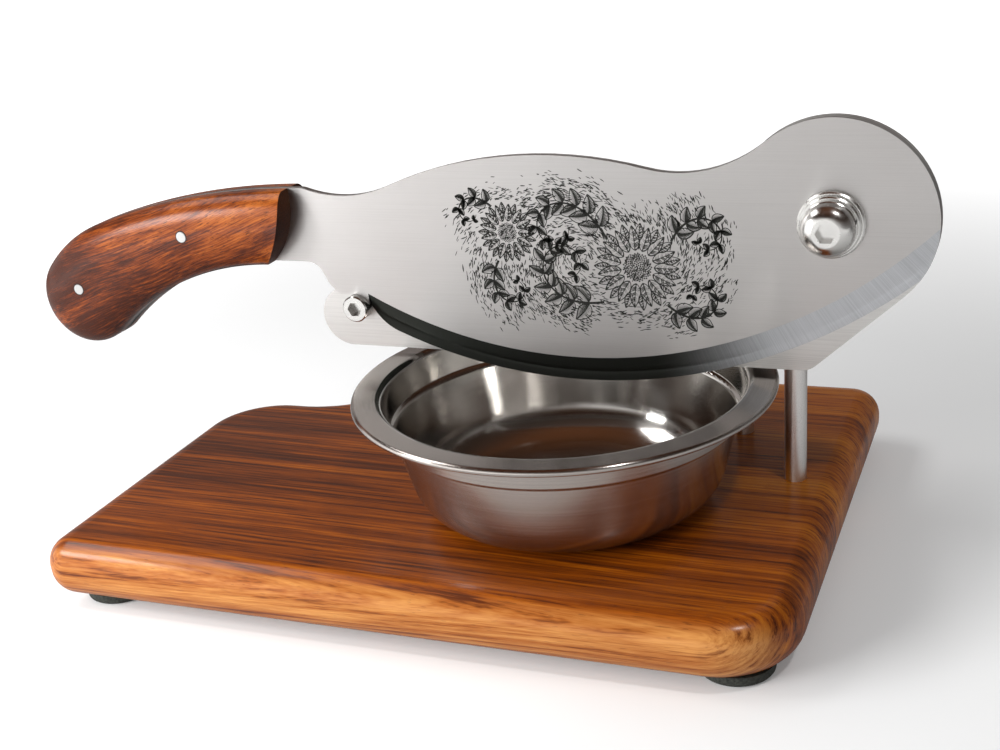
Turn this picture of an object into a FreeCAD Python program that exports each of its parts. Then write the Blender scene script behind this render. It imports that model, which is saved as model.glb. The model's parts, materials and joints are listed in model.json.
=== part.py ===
import FreeCAD, Part
import math
import os

# Hand-lever slicer for dried meat: a shear blade pivots on an anvil plate that
# stands on two posts above a wooden board, and a steel bowl catches the slices.
# Millimetres.  +X runs to the pivot end, +Y to the back, +Z up.
# Origin: middle of the overall length, middle of the board's depth, floor level.

V = FreeCAD.Vector
RIGHT = V(1, 0, 0)
BACK = V(0, 1, 0)
FRONT = V(0, -1, 0)
UP = V(0, 0, 1)

# ---- clearances -------------------------------------------------------------
running_gap = 0.05        # blade on its bush, and blade to plate
bolt_gap = 0.1            # radial room of a bolt in a plain hole
close_gap = 0.02          # radial room of pins, nuts and wood screws
rest_gap = 0.2            # under the loose bowl
cut_over = 1.0            # how far a cutting tool runs past what it cuts

# ---- board ------------------------------------------------------------------
board_length = 272.6
board_depth = 204.0
board_thickness = 22.0
board_top_round = 9.5
board_bottom_round = 10.5
front_left_radius = 10.8
front_right_radius = 28.0
rear_right_radius = 12.0
rear_left_radius = 30.0
shelf_depth = 145.0           # depth of the shallow left part
shelf_length = 33.0           # from the left edge to where the rear edge turns back
step_valley_radius = 36.0
step_crown_radius = 43.0

# ---- feet -------------------------------------------------------------------
foot_radius = 12.5
foot_height = 4.0
foot_round = 1.8
left_foot_inset = 19.5        # foot centres, from the board's edges
right_foot_inset = 20.8
foot_recess_radius = 4.3
foot_recess_depth = 2.4
foot_screw_head_radius = 3.8
foot_screw_head_height = 2.0
foot_screw_crown_radius = 2.66    # flat top of the pan head
foot_screw_head_side = 1.0        # straight side of the pan head
foot_screw_radius = 1.75
foot_screw_reach = 12.0       # into the board
foot_screw_tip = 3.0
foot_screw_room = 1.0         # pilot hole past the tip

# ---- posts and their nuts ---------------------------------------------------
post_radius = 4.0
post_chamfer = 0.5
washer_edge = 0.25
stud_radius = 3.0
stud_end = 1.2                # stud standing out of its nut
post_from_pivot = 14.5        # front post, left of the pivot
post_behind_plate = 12.2      # front post, behind the plate's front face
rear_post_left = 27.5         # rear post, from the front post
rear_post_back = 37.9
nut_flats = 10.0
nut_height = 5.0
washer_radius = 5.5
washer_thickness = 1.6
counterbore_radius = 8.0
counterbore_depth = 9.0

# ---- anvil plate, seen from the front with the pivot at 0, 0 -----------------
plate_setback = 96.2          # board's front edge to the plate's front face
plate_thickness = 3.0
pivot_height = 99.2           # above the board
pivot_inset = 4.1             # from the board's right edge
head_radius = 34.0            # round head of the plate and of the blade
bar_height = 23.0
bar_drop = 52.6               # bar's lower edge below the pivot
bar_reach = 192.4             # pivot to the bar's left end
bar_slope = 42.0              # degrees, lower edge up to the head
bar_corner_radius = 7.0
bar_neck_radius = 20.0

# ---- bracket behind the plate -----------------------------------------------
bracket_thickness = 2.5
bracket_bend = 1.0            # inside radius
bracket_lift = 1.4            # its underside above the plate's lower edge
bracket_rise = 18.0
bracket_margin_right = 8.0    # from the front post's axis
bracket_margin_left = 9.0     # from the rear post's axis
bracket_margin_back = 9.0
bracket_corner_radius = 6.0
plate_screw_radius = 2.0
plate_screw_head_radius = 4.0
plate_screw_length = 10.0
plate_screw_sink = 0.1        # heads lie this far under the plate's face
plate_screw_socket = 2.5
plate_screw_socket_depth = 1.4
plate_screw_inset = 7.5       # from the bracket's left edge
plate_screw_spread = 18.0
plate_screw_height = 11.5     # above the bracket's underside
plate_nut_flats = 7.0
plate_nut_height = 3.2

# ---- stop screw -------------------------------------------------------------
stop_left = 175.8             # from the pivot
stop_drop = 36.4
stop_head_radius = 5.0
stop_head_height = 6.0
stop_head_rim = 0.5
stop_socket = 5.0
stop_socket_depth = 3.0
stop_screw_radius = 3.0
stop_screw_length = 12.0

# ---- blade ------------------------------------------------------------------
blade_thickness = 3.0
edge_radius = 184.4
edge_left = 88.8              # lowest point of the edge, from the pivot
edge_drop = 60.9
edge_land = 0.2               # thickness left at the cutting edge
bevel_width = 9.6
crown_radius = 156.6
crown_left = 98.7             # highest point of the back, from the pivot
crown_height = 21.4
neck_valley_radius = 46.3     # dip between the head and the crown
tail_valley_radius = 47.9     # dip between the crown and the handle
tail_valley_start = 112.5     # degrees round the crown
tail_crest_radius = 6.0
tail_crest_turn = 18.0
seat_side_turn = 65.0         # how far the notch wraps round the stop screw
heel_radius = 16.0
choil_length = 11.1
choil_corner_radius = 6.5
choil_corner_turn = 65.0
choil_drop = 4.0
choil_bend_radius = 6.0
choil_bend_turn = 20.0
seat_corner_radius = 2.0

# ---- handle: the tang's outline as five arcs, then the wood on it ------------
# Places are measured from the tail crest's end, to the left and down.
handle_back_radius = 281.5
handle_back_turn = 18.4
handle_shoulder_radius = 60.2
handle_shoulder_turn = 30.1
handle_butt_radius = 18.9
handle_butt_turn = 120.5
handle_beak_radius = 19.0
handle_beak_turn = 54.3
handle_grip_radius = 110.5
handle_grip_turn = 43.3
scale_thickness = 11.0
scale_edge_round = 7.0
scale_end_radius = 31.8       # round front end of the wood
scale_end_left = 36.4
scale_end_drop = 4.7
pin_radius = 2.0
inner_pin_left = 47.0
inner_pin_drop = 16.6
outer_pin_left = 98.9
outer_pin_drop = 39.2

# ---- pivot stack ------------------------------------------------------------
bolt_radius = 5.0
bolt_length = 30.0
bolt_head_radius = 8.75
bolt_head_height = 5.5
bolt_head_rim = 0.8
bolt_head_top_radius = 4.6
bolt_socket = 6.0
bolt_socket_depth = 3.2
bolt_head_bulge = 0.16        # dome's rise over its chord, as a share of the chord
bolt_end_chamfer = 0.7
bush_radius = 7.0
bush_flange_radius = 11.0
bush_flange_thickness = 3.0
bush_flange_edge = 0.5
flat_washer_radius = 10.0
flat_washer_thickness = 2.0
spring_washer_radius = 9.05
spring_washer_thickness = 2.2
spring_washer_slit = 1.0
spring_washer_slant = 20.0    # degrees of the slit off the axis
spring_washer_slit_turn = 70.0    # degrees round the axis from the top
spring_washer_edge = 0.3
flat_washer_edge = 0.5
lock_nut_flats = 17.0
lock_nut_height = 8.0
lock_nut_collar_radius = 7.6
lock_nut_collar_height = 2.4
lock_nut_collar_edge = 0.8
lock_nut_ring_radius = 6.4
lock_nut_ring_cover = 0.6     # collar left over the ring
lock_nut_ring_edge = 0.05

# ---- bowl, measured from its own bottom ---------------------------------------
bowl_left = 90.6              # bowl's axis from the pivot
bowl_front = 17.4             # bowl's axis in front of the plate's front face
bowl_wall = 0.9
bowl_height = 44.5
bowl_rim_radius = 74.7
bowl_base_radius = 40.0       # flat part of the bottom
bowl_toe_radius = 17.0        # from the bottom to the side
bowl_toe_turn = 76.0
bowl_side_length = 18.6
bowl_ridge_radius = 1.2       # out and up again
bowl_ridge_turn = 50.0
bowl_ridge_length = 0.8
bowl_collar_lean = 80.0       # degrees from flat
bowl_mouth_radius = 1.6       # collar to lip, outside
bowl_curl_radius = 0.4        # rolled edge, inside
bowl_curl_turn = 210.0

# ---- places that follow from the sizes above ---------------------------------
board_bottom_z = foot_height
board_top_z = board_bottom_z + board_thickness
board_front_y = -board_depth / 2
board_rear_y = board_depth / 2
pivot_z = board_top_z + pivot_height
plate_front_y = board_front_y + plate_setback
plate_rear_y = plate_front_y + plate_thickness
blade_rear_y = plate_front_y - running_gap
blade_front_y = blade_rear_y - blade_thickness
flange_y = blade_front_y - running_gap
post_height = pivot_height - bar_drop + bracket_lift
bracket_z = board_top_z + post_height
seat_radius = stop_head_radius + running_gap
edge_centre = (-edge_left, edge_radius - edge_drop)
crown_centre = (-crown_left, crown_height - crown_radius)


# ---- drawing helpers ---------------------------------------------------------
class Walk:
    """A flat outline in X and Z, walked as lines and tangent arcs.

    Angles are in degrees, 0 to the right and 90 up, and a positive turn is to
    the left.
    """

    def __init__(self, x, z, heading):
        self.x = x
        self.z = z
        self.heading = heading
        self.edges = []

    def turn(self, angle):
        self.heading += angle

    def line(self, length):
        start = V(self.x, 0, self.z)
        self.x += length * math.cos(math.radians(self.heading))
        self.z += length * math.sin(math.radians(self.heading))
        self.edges.append(Part.makeLine(start, V(self.x, 0, self.z)))

    def arc(self, radius, turn):
        side = 90 if turn > 0 else -90
        towards = math.radians(self.heading + side)
        centre_x = self.x + radius * math.cos(towards)
        centre_z = self.z + radius * math.sin(towards)

        def at(angle):
            outward = math.radians(self.heading - side + angle)
            return V(centre_x + radius * math.cos(outward), 0,
                     centre_z + radius * math.sin(outward))

        end = at(turn)
        self.edges.append(Part.Arc(at(0), at(turn / 2), end).toShape())
        self.x = end.x
        self.z = end.z
        self.heading += turn

    def wire(self):
        return Part.Wire(self.edges)


def angle_of(x, z):
    return math.degrees(math.atan2(z, x)) % 360


def touching_centre(centre_a, reach_a, centre_b, reach_b):
    """The upper point that lies reach_a from one centre and reach_b from the other."""
    dx = centre_b[0] - centre_a[0]
    dz = centre_b[1] - centre_a[1]
    apart = math.hypot(dx, dz)
    along = (reach_a ** 2 - reach_b ** 2 + apart ** 2) / (2 * apart)
    aside = math.sqrt(reach_a ** 2 - along ** 2)
    return (centre_a[0] + (along * dx + aside * dz) / apart,
            centre_a[1] + (along * dz - aside * dx) / apart)


def slab(wire, front_y, rear_y):
    """A front-view outline made solid between two depths."""
    face = Part.Face(wire)
    face.translate(V(0, front_y, 0))
    return face.extrude(V(0, rear_y - front_y, 0))


def rod(x, z, radius, front_y, rear_y):
    """A round bar along Y; x and z are measured from the pivot."""
    return Part.makeCylinder(radius, rear_y - front_y, V(x, front_y, z), BACK)


def bore(x, z, radius, front_y, rear_y):
    """What a drill takes out between two depths, running past both."""
    return rod(x, z, radius, front_y - cut_over, rear_y + cut_over)


def turned(profile, axis=UP, at=V(0, 0, 0)):
    """A solid of revolution from (radius, height) corners, about an axis through a point."""
    corners = [V(radius, 0, height) for radius, height in profile]
    shape = Part.Face(Part.makePolygon(corners + corners[:1])).revolve(V(0, 0, 0), UP, 360)
    shape.Placement = FreeCAD.Placement(at, FreeCAD.Rotation(UP, axis))
    return shape


def ring(outer, inner, thickness, axis, at, bevel):
    """A washer with its outer corners broken."""
    return turned([(inner, 0), (outer - bevel, 0), (outer, bevel), (outer, thickness - bevel),
                   (outer - bevel, thickness), (inner, thickness)], axis, at)


def hexagon(flats, height, axis, at):
    corners = [V(flats / math.sqrt(3) * math.cos(math.radians(60 * turn)),
                 flats / math.sqrt(3) * math.sin(math.radians(60 * turn)), 0)
               for turn in range(7)]
    shape = Part.Face(Part.makePolygon(corners)).extrude(V(0, 0, height))
    shape.Placement = FreeCAD.Placement(at, FreeCAD.Rotation(UP, axis))
    return shape


def hex_nut(flats, height, hole_radius, axis, at):
    """A hexagon nut with both faces turned to a 30 degree chamfer."""
    corner = flats / math.sqrt(3) + close_gap
    drop = (corner - flats / 2) * math.tan(math.radians(30))
    blank = turned([(0, 0), (flats / 2, 0), (corner, drop), (corner, height - drop),
                    (flats / 2, height), (0, height)], axis, at)
    hole = turned([(0, -cut_over), (hole_radius, -cut_over), (hole_radius, height + cut_over),
                   (0, height + cut_over)], axis, at)
    return hexagon(flats, height, axis, at).common(blank).cut(hole)


def on_pivot(shape):
    """Moves a shape drawn with the pivot at x = z = 0 to its place."""
    shape.translate(V(pivot_x, 0, pivot_z))
    return shape


# ---- outlines ----------------------------------------------------------------
def walk_handle(path):
    """The tang from the tail crest round the butt and back under the grip."""
    path.arc(handle_back_radius, handle_back_turn)
    path.arc(handle_shoulder_radius, handle_shoulder_turn)
    path.arc(handle_butt_radius, handle_butt_turn)
    path.arc(handle_beak_radius, handle_beak_turn)
    path.arc(handle_grip_radius, -handle_grip_turn)


def blade_outline():
    """The whole blade and tang, anticlockwise from the top of the head.

    Also returns the point where the tail crest ends and the handle starts.
    """
    neck_centre = touching_centre((0, 0), head_radius + neck_valley_radius,
                                  crown_centre, crown_radius + neck_valley_radius)
    neck_angle = angle_of(*neck_centre)
    crown_start = angle_of(neck_centre[0] - crown_centre[0], neck_centre[1] - crown_centre[1])
    path = Walk(0, head_radius, 180)
    path.arc(head_radius, neck_angle - 90)
    path.arc(neck_valley_radius, crown_start - neck_angle)
    path.arc(crown_radius, tail_valley_start - crown_start)
    path.arc(tail_valley_radius, 90 - tail_crest_turn - tail_valley_start)
    path.arc(tail_crest_radius, tail_crest_turn)
    handle_start = (path.x, path.z)
    walk_handle(path)
    path.line(choil_length)
    path.arc(choil_corner_radius, -choil_corner_turn)
    path.line(choil_drop)
    path.arc(choil_bend_radius, choil_bend_turn)
    rise = choil_corner_turn - choil_bend_turn
    seat_z = seat_radius - stop_drop
    slant = path.z - seat_z - seat_corner_radius * (1 - math.cos(math.radians(rise)))
    path.line(slant / math.sin(math.radians(rise)))
    path.arc(seat_corner_radius, rise)
    path.line(-stop_left - path.x)
    path.arc(seat_radius, -seat_side_turn)

    # heel: a straight flank and an arc that runs into the cutting edge
    ahead = math.radians(path.heading)
    start_x = path.x - heel_radius * math.sin(ahead) - edge_centre[0]
    start_z = path.z + heel_radius * math.cos(ahead) - edge_centre[1]
    toward = start_x * math.cos(ahead) + start_z * math.sin(ahead)
    inner = edge_radius - heel_radius
    flank = math.sqrt(toward ** 2 + inner ** 2 - start_x ** 2 - start_z ** 2) - toward
    heel_angle = angle_of(start_x + flank * math.cos(ahead), start_z + flank * math.sin(ahead))
    path.line(flank)
    path.arc(heel_radius, heel_angle + 90 - path.heading)

    # cutting edge up to the head, then round the head to the start
    away = math.hypot(*edge_centre)
    spread = math.degrees(math.acos((away ** 2 + head_radius ** 2 - edge_radius ** 2)
                                    / (2 * away * head_radius)))
    meet = angle_of(*edge_centre) - spread
    meet_x = head_radius * math.cos(math.radians(meet))
    meet_z = head_radius * math.sin(math.radians(meet))
    edge_end = angle_of(meet_x - edge_centre[0], meet_z - edge_centre[1])
    path.arc(edge_radius, edge_end - heel_angle)
    path.turn(meet + 90 - path.heading)
    path.arc(head_radius, 90 - meet)
    return path.wire(), handle_start


def plate_outline():
    """The anvil bar and its round head, anticlockwise from the lower left."""
    end_radius = bar_height / 2
    neck_z = bar_neck_radius - bar_drop + bar_height
    neck_reach = head_radius + bar_neck_radius
    neck_angle = 180 - math.degrees(math.asin(neck_z / neck_reach))
    slope = math.radians(bar_slope)
    touch_x = head_radius * math.sin(slope)
    touch_z = -head_radius * math.cos(slope)
    slope_length = (touch_z + bar_drop) / math.sin(slope)
    trim = bar_corner_radius * math.tan(slope / 2)
    path = Walk(end_radius - bar_reach, -bar_drop, 0)
    path.line(touch_x - slope_length * math.cos(slope) - trim - path.x)
    path.arc(bar_corner_radius, bar_slope)
    path.line(slope_length - trim)
    path.arc(head_radius, neck_angle - bar_slope + 90)
    path.arc(bar_neck_radius, 90 - neck_angle)
    path.line(path.x - (end_radius - bar_reach))
    path.arc(end_radius, 180)
    return path.wire()


def board_outline():
    """The board from above, anticlockwise from its front-left corner at 0, 0."""
    rise = board_depth - shelf_depth
    radii = step_valley_radius + step_crown_radius
    step_turn = math.degrees(math.acos(1 - rise / radii))
    step_run = radii * math.sin(math.radians(step_turn))
    path = Walk(front_left_radius, 0, 0)
    path.line(board_length - front_left_radius - front_right_radius)
    path.arc(front_right_radius, 90)
    path.line(board_depth - front_right_radius - rear_right_radius)
    path.arc(rear_right_radius, 90)
    path.line(board_length - rear_right_radius - shelf_length - step_run)
    path.arc(step_crown_radius, step_turn)
    path.arc(step_valley_radius, -step_turn)
    path.line(shelf_length - rear_left_radius)
    path.arc(rear_left_radius, 90)
    path.line(shelf_depth - rear_left_radius - front_left_radius)
    path.arc(front_left_radius, 90)
    wire = path.wire()
    wire.rotate(V(0, 0, 0), RIGHT, -90)
    return wire


tang_outline, handle_start = blade_outline()
handle_reach = -tang_outline.optimalBoundingBox(False, False).XMin
pivot_x = (handle_reach - head_radius) / 2
board_right_x = pivot_x + pivot_inset
board_left_x = board_right_x - board_length
front_post = (pivot_x - post_from_pivot, plate_front_y + post_behind_plate)
rear_post = (front_post[0] - rear_post_left, front_post[1] + rear_post_back)
posts = (front_post, rear_post)
inner_pin = (handle_start[0] - inner_pin_left, handle_start[1] - inner_pin_drop)
outer_pin = (handle_start[0] - outer_pin_left, handle_start[1] - outer_pin_drop)
foot_places = {
    "foot_front_left": (board_left_x + left_foot_inset, board_front_y + left_foot_inset),
    "foot_front_right": (board_right_x - right_foot_inset, board_front_y + right_foot_inset),
    "foot_rear_left": (board_left_x + left_foot_inset,
                       board_front_y + shelf_depth - left_foot_inset),
    "foot_rear_right": (board_right_x - right_foot_inset, board_rear_y - right_foot_inset),
}


# ---- board and what stands under it --------------------------------------------
def base_board():
    shape = Part.Face(board_outline()).extrude(UP * board_thickness)
    shape.translate(V(board_left_x, board_front_y, board_bottom_z))
    for radius, level in ((board_top_round, board_top_z), (board_bottom_round, board_bottom_z)):
        rim = [edge for edge in shape.Edges
               if abs(edge.BoundBox.ZMin - level) < 0.01 and abs(edge.BoundBox.ZMax - level) < 0.01]
        shape = shape.makeFillet(radius, rim)
    for x, y in posts:
        below = V(x, y, board_bottom_z - cut_over)
        hole = Part.makeCylinder(stud_radius + bolt_gap, board_thickness + 2 * cut_over, below)
        pocket = Part.makeCylinder(counterbore_radius, counterbore_depth + cut_over, below)
        shape = shape.cut(hole.fuse(pocket))
    for x, y in foot_places.values():
        shape = shape.cut(Part.makeCylinder(foot_screw_radius + close_gap,
                                            foot_screw_reach + foot_screw_room,
                                            V(x, y, board_bottom_z)))
    return shape


def foot(place):
    profile = [(foot_recess_radius, 0), (foot_radius - foot_round, 0)]
    for degrees in (22.5, 45, 67.5, 90):
        turn = math.radians(degrees)
        profile.append((foot_radius - foot_round + foot_round * math.sin(turn),
                        foot_round - foot_round * math.cos(turn)))
    profile += [(foot_radius, foot_height), (foot_screw_radius + close_gap, foot_height),
                (foot_screw_radius + close_gap, foot_recess_depth),
                (foot_recess_radius, foot_recess_depth)]
    return turned(profile, UP, V(place[0], place[1], 0))


def foot_screws():
    top = foot_recess_depth
    seat = top - foot_screw_head_height
    tip = board_bottom_z + foot_screw_reach
    profile = [(0, seat), (foot_screw_crown_radius, seat),
               (foot_screw_head_radius, top - foot_screw_head_side),
               (foot_screw_head_radius, top), (foot_screw_radius, top),
               (foot_screw_radius, tip - foot_screw_tip), (0, tip)]
    return Part.Compound([turned(profile, UP, V(x, y, 0)) for x, y in foot_places.values()])


# ---- posts ---------------------------------------------------------------------
def post(place):
    """A shouldered rod: the thick part stands between board and bracket."""
    low = -(board_thickness - counterbore_depth) - washer_thickness - nut_height - stud_end
    high = post_height + bracket_thickness + washer_thickness + nut_height + stud_end
    cut = post_chamfer
    profile = [(0, low), (stud_radius - cut, low), (stud_radius, low + cut), (stud_radius, 0),
               (post_radius, 0), (post_radius, post_height - cut),
               (post_radius - cut, post_height), (stud_radius, post_height),
               (stud_radius, high - cut), (stud_radius - cut, high), (0, high)]
    return turned(profile, UP, V(place[0], place[1], board_top_z))


def post_levels():
    """Height of each post washer's inner face, and the way the stud leaves it."""
    return ((bracket_z + bracket_thickness, UP), (board_bottom_z + counterbore_depth, V(0, 0, -1)))


def post_washers():
    return Part.Compound([ring(washer_radius, stud_radius + bolt_gap, washer_thickness,
                               way, V(x, y, level), washer_edge)
                          for x, y in posts for level, way in post_levels()])


def post_nuts():
    return Part.Compound([hex_nut(nut_flats, nut_height, stud_radius + close_gap, way,
                                  V(x, y, level) + way * washer_thickness)
                          for x, y in posts for level, way in post_levels()])


# ---- bracket and plate -----------------------------------------------------------
def plate_screw_places():
    """Front-view places of the two plate screws, measured from the pivot."""
    left = rear_post[0] - bracket_margin_left + plate_screw_inset - pivot_x
    z = bracket_z + plate_screw_height - pivot_z
    return ((left, z), (left + plate_screw_spread, z))


def plate_bracket():
    """One bent strip: a leg against the plate and a shelf on the posts."""
    left_x = rear_post[0] - bracket_margin_left
    width = front_post[0] + bracket_margin_right - left_x
    reach = rear_post[1] + bracket_margin_back - plate_rear_y
    outer_bend = bracket_bend + bracket_thickness
    path = Walk(0, bracket_rise, 270)
    path.line(bracket_rise - outer_bend)
    path.arc(outer_bend, 90)
    path.line(reach - outer_bend)
    path.turn(90)
    path.line(bracket_thickness)
    path.turn(90)
    path.line(reach - outer_bend)
    path.arc(bracket_bend, -90)
    path.line(bracket_rise - outer_bend)
    path.turn(90)
    path.line(bracket_thickness)
    section = path.wire()
    section.rotate(V(0, 0, 0), UP, 90)
    section.translate(V(left_x, plate_rear_y, bracket_z))
    shape = Part.Face(section).extrude(RIGHT * width)
    rear_y = plate_rear_y + reach
    corners = [edge for edge in shape.Edges if abs(edge.BoundBox.YMin - rear_y) < 0.01
               and edge.BoundBox.XLength < bracket_thickness]
    shape = shape.makeFillet(bracket_corner_radius, corners)
    for x, y in posts:
        shape = shape.cut(Part.makeCylinder(stud_radius + bolt_gap, bracket_thickness + 2 * cut_over,
                                            V(x, y, bracket_z - cut_over)))
    for x, z in plate_screw_places():
        shape = shape.cut(on_pivot(bore(x, z, plate_screw_radius + bolt_gap,
                                        plate_rear_y, plate_rear_y + bracket_thickness)))
    return shape


def countersink(x, z, wide, narrow, face_y):
    """A 90 degree cone along Y whose wide end lies at face_y."""
    return Part.makeCone(wide, narrow, wide - narrow, V(x, face_y, z), BACK)


def anvil_plate():
    shape = slab(plate_outline(), plate_front_y, plate_rear_y)
    holes = [bore(0, 0, bolt_radius + bolt_gap, plate_front_y, plate_rear_y),
             bore(-stop_left, -stop_drop, stop_screw_radius + bolt_gap,
                  plate_front_y, plate_rear_y)]
    for x, z in plate_screw_places():
        holes.append(bore(x, z, plate_screw_radius + bolt_gap, plate_front_y, plate_rear_y))
        holes.append(countersink(x, z, plate_screw_head_radius + bolt_gap,
                                 plate_screw_radius + bolt_gap, plate_front_y))
    for hole in holes:
        shape = shape.cut(hole)
    return on_pivot(shape)


def plate_screws():
    screws = []
    face = plate_front_y + plate_screw_sink
    for x, z in plate_screw_places():
        head = countersink(x, z, plate_screw_head_radius, plate_screw_radius, face)
        shank = rod(x, z, plate_screw_radius, face + plate_screw_socket_depth,
                    face + plate_screw_length)
        socket = hexagon(plate_screw_socket, plate_screw_socket_depth, BACK, V(x, face, z))
        screws.append(on_pivot(head.fuse(shank).cut(socket)))
    return Part.Compound(screws)


def plate_nuts():
    y = plate_rear_y + bracket_thickness
    return Part.Compound([on_pivot(hex_nut(plate_nut_flats, plate_nut_height,
                                           plate_screw_radius + close_gap, BACK, V(x, y, z)))
                          for x, z in plate_screw_places()])


# ---- stop screw ------------------------------------------------------------------
def stop_screw():
    rim = stop_head_rim
    profile = [(0, -stop_screw_length), (stop_screw_radius - rim, -stop_screw_length),
               (stop_screw_radius, rim - stop_screw_length), (stop_screw_radius, 0),
               (stop_head_radius, 0), (stop_head_radius, stop_head_height - rim),
               (stop_head_radius - rim, stop_head_height), (0, stop_head_height)]
    at = V(-stop_left, plate_front_y, -stop_drop)
    floor = at + FRONT * (stop_head_height - stop_socket_depth)
    socket = hexagon(stop_socket, stop_socket_depth + cut_over, FRONT, floor)
    return on_pivot(turned(profile, FRONT, at).cut(socket))


def stop_washer():
    at = V(-stop_left, plate_rear_y, -stop_drop)
    return on_pivot(ring(washer_radius, stop_screw_radius + bolt_gap, washer_thickness,
                         BACK, at, washer_edge))


def stop_nut():
    at = V(-stop_left, plate_rear_y + washer_thickness, -stop_drop)
    return on_pivot(hex_nut(nut_flats, nut_height, stop_screw_radius + close_gap, BACK, at))


# ---- pivot stack -----------------------------------------------------------------
def pivot_bush():
    """A flanged bush: the barrel carries the blade, the flange holds it on."""
    barrel = plate_front_y - flange_y
    rim = bush_flange_edge
    inside = bolt_radius + bolt_gap
    profile = [(inside, 0), (bush_radius, 0), (bush_radius, barrel), (bush_flange_radius, barrel),
               (bush_flange_radius, barrel + bush_flange_thickness - rim),
               (bush_flange_radius - rim, barrel + bush_flange_thickness),
               (inside, barrel + bush_flange_thickness)]
    return on_pivot(turned(profile, FRONT, V(0, plate_front_y, 0)))


def pivot_flat_washer():
    at = V(0, flange_y - bush_flange_thickness, 0)
    return on_pivot(ring(flat_washer_radius, bolt_radius + bolt_gap, flat_washer_thickness,
                         FRONT, at, flat_washer_edge))


def pivot_spring_washer():
    y = flange_y - bush_flange_thickness - flat_washer_thickness
    washer = ring(spring_washer_radius, bolt_radius + bolt_gap, spring_washer_thickness,
                  FRONT, V(0, y, 0), spring_washer_edge)
    slit = Part.makeBox(spring_washer_slit, spring_washer_thickness * 3,
                        spring_washer_radius + cut_over,
                        V(-spring_washer_slit / 2, y - spring_washer_thickness * 2, 0))
    slit.rotate(V(0, y, 0), UP, spring_washer_slant)
    slit.rotate(V(0, y, 0), BACK, spring_washer_slit_turn)
    return on_pivot(washer.cut(slit))


def pivot_bolt():
    """A domed socket screw; the dome is an arc from the rim to the flat top."""
    y = flange_y - bush_flange_thickness - flat_washer_thickness - spring_washer_thickness
    rim = V(bolt_head_radius, 0, bolt_head_rim)
    top = V(bolt_head_top_radius, 0, bolt_head_height)
    chord = top - rim
    bulge = V(chord.z, 0, -chord.x) * bolt_head_bulge
    dome = Part.Arc(rim, rim + chord * 0.5 + bulge, top).toShape()
    end = bolt_end_chamfer
    corners = [top, V(0, 0, bolt_head_height), V(0, 0, -bolt_length),
               V(bolt_radius - end, 0, -bolt_length), V(bolt_radius, 0, end - bolt_length),
               V(bolt_radius, 0, 0), V(bolt_head_radius, 0, 0), rim]
    outline = Part.Wire([dome] + Part.makePolygon(corners).Edges)
    shape = Part.Face(outline).revolve(V(0, 0, 0), UP, 360)
    socket = hexagon(bolt_socket, bolt_socket_depth + cut_over, UP,
                     V(0, 0, bolt_head_height - bolt_socket_depth))
    shape = shape.cut(socket)
    shape.Placement = FreeCAD.Placement(V(0, y, 0), FreeCAD.Rotation(UP, FRONT))
    return on_pivot(shape)


def pivot_rear_washer():
    return on_pivot(ring(flat_washer_radius, bolt_radius + bolt_gap, flat_washer_thickness,
                         BACK, V(0, plate_rear_y, 0), flat_washer_edge))


def lock_nut_shell():
    """The hexagon with its collar, solid through the middle."""
    at = V(0, plate_rear_y + flat_washer_thickness, 0)
    body = hex_nut(lock_nut_flats, lock_nut_height, bolt_radius + close_gap, BACK, at)
    collar = ring(lock_nut_collar_radius, bolt_radius + close_gap, lock_nut_collar_height,
                  BACK, at + BACK * lock_nut_height, lock_nut_collar_edge)
    return body.fuse(collar).removeSplitter()


def lock_nut_pocket(radius):
    at = V(0, plate_rear_y + flat_washer_thickness + lock_nut_height, 0)
    return ring(radius, bolt_radius + close_gap, lock_nut_collar_height - lock_nut_ring_cover,
                BACK, at, lock_nut_ring_edge)


def pivot_lock_nut():
    return on_pivot(lock_nut_shell().cut(lock_nut_pocket(lock_nut_ring_radius + close_gap)))


def lock_nut_ring():
    return on_pivot(lock_nut_pocket(lock_nut_ring_radius))


# ---- blade -----------------------------------------------------------------------
def bevel_cutter():
    """Everything outside the cone that grinds the front face down to the edge."""
    x, z = edge_centre
    start_y = blade_rear_y - edge_land
    depth = blade_thickness - edge_land
    tall = depth + cut_over
    narrow = edge_radius - bevel_width * tall / depth
    cone = Part.makeCone(edge_radius, narrow, tall, V(x, start_y, z), FRONT)
    around = Part.makeCylinder(edge_radius + heel_radius, tall, V(x, start_y, z), FRONT)
    ground = Part.makeBox(handle_reach, tall, 3 * edge_radius,
                          V(stop_head_radius - stop_left, start_y - tall, -edge_radius))
    return around.cut(cone).common(ground)


def blade():
    shape = slab(tang_outline, blade_front_y, blade_rear_y).cut(bevel_cutter())
    shape = shape.cut(bore(0, 0, bush_radius + running_gap, blade_front_y, blade_rear_y))
    for x, z in (inner_pin, outer_pin):
        shape = shape.cut(bore(x, z, pin_radius + close_gap, blade_front_y, blade_rear_y))
    return on_pivot(shape)


def grip_blank(front_y, rear_y):
    """The handle's part of the tang, run straight on past the wood's front end."""
    path = Walk(handle_start[0] + scale_edge_round, handle_start[1], 180)
    path.line(scale_edge_round)
    walk_handle(path)
    path.line(handle_start[0] + scale_edge_round - path.x)
    path.turn(90)
    path.line(handle_start[1] - path.z)
    return slab(path.wire(), front_y, rear_y)


def grip_zone(front_y, rear_y):
    """Everything behind the round front end of the wood."""
    path = Walk(handle_start[0] - scale_end_left,
                handle_start[1] - scale_end_drop - scale_end_radius, 0)
    path.arc(scale_end_radius, 180)
    path.line(handle_reach)
    path.turn(90)
    path.line(4 * scale_end_radius)
    path.turn(90)
    path.line(handle_reach)
    path.turn(90)
    path.line(2 * scale_end_radius)
    return slab(path.wire(), front_y, rear_y)


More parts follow.
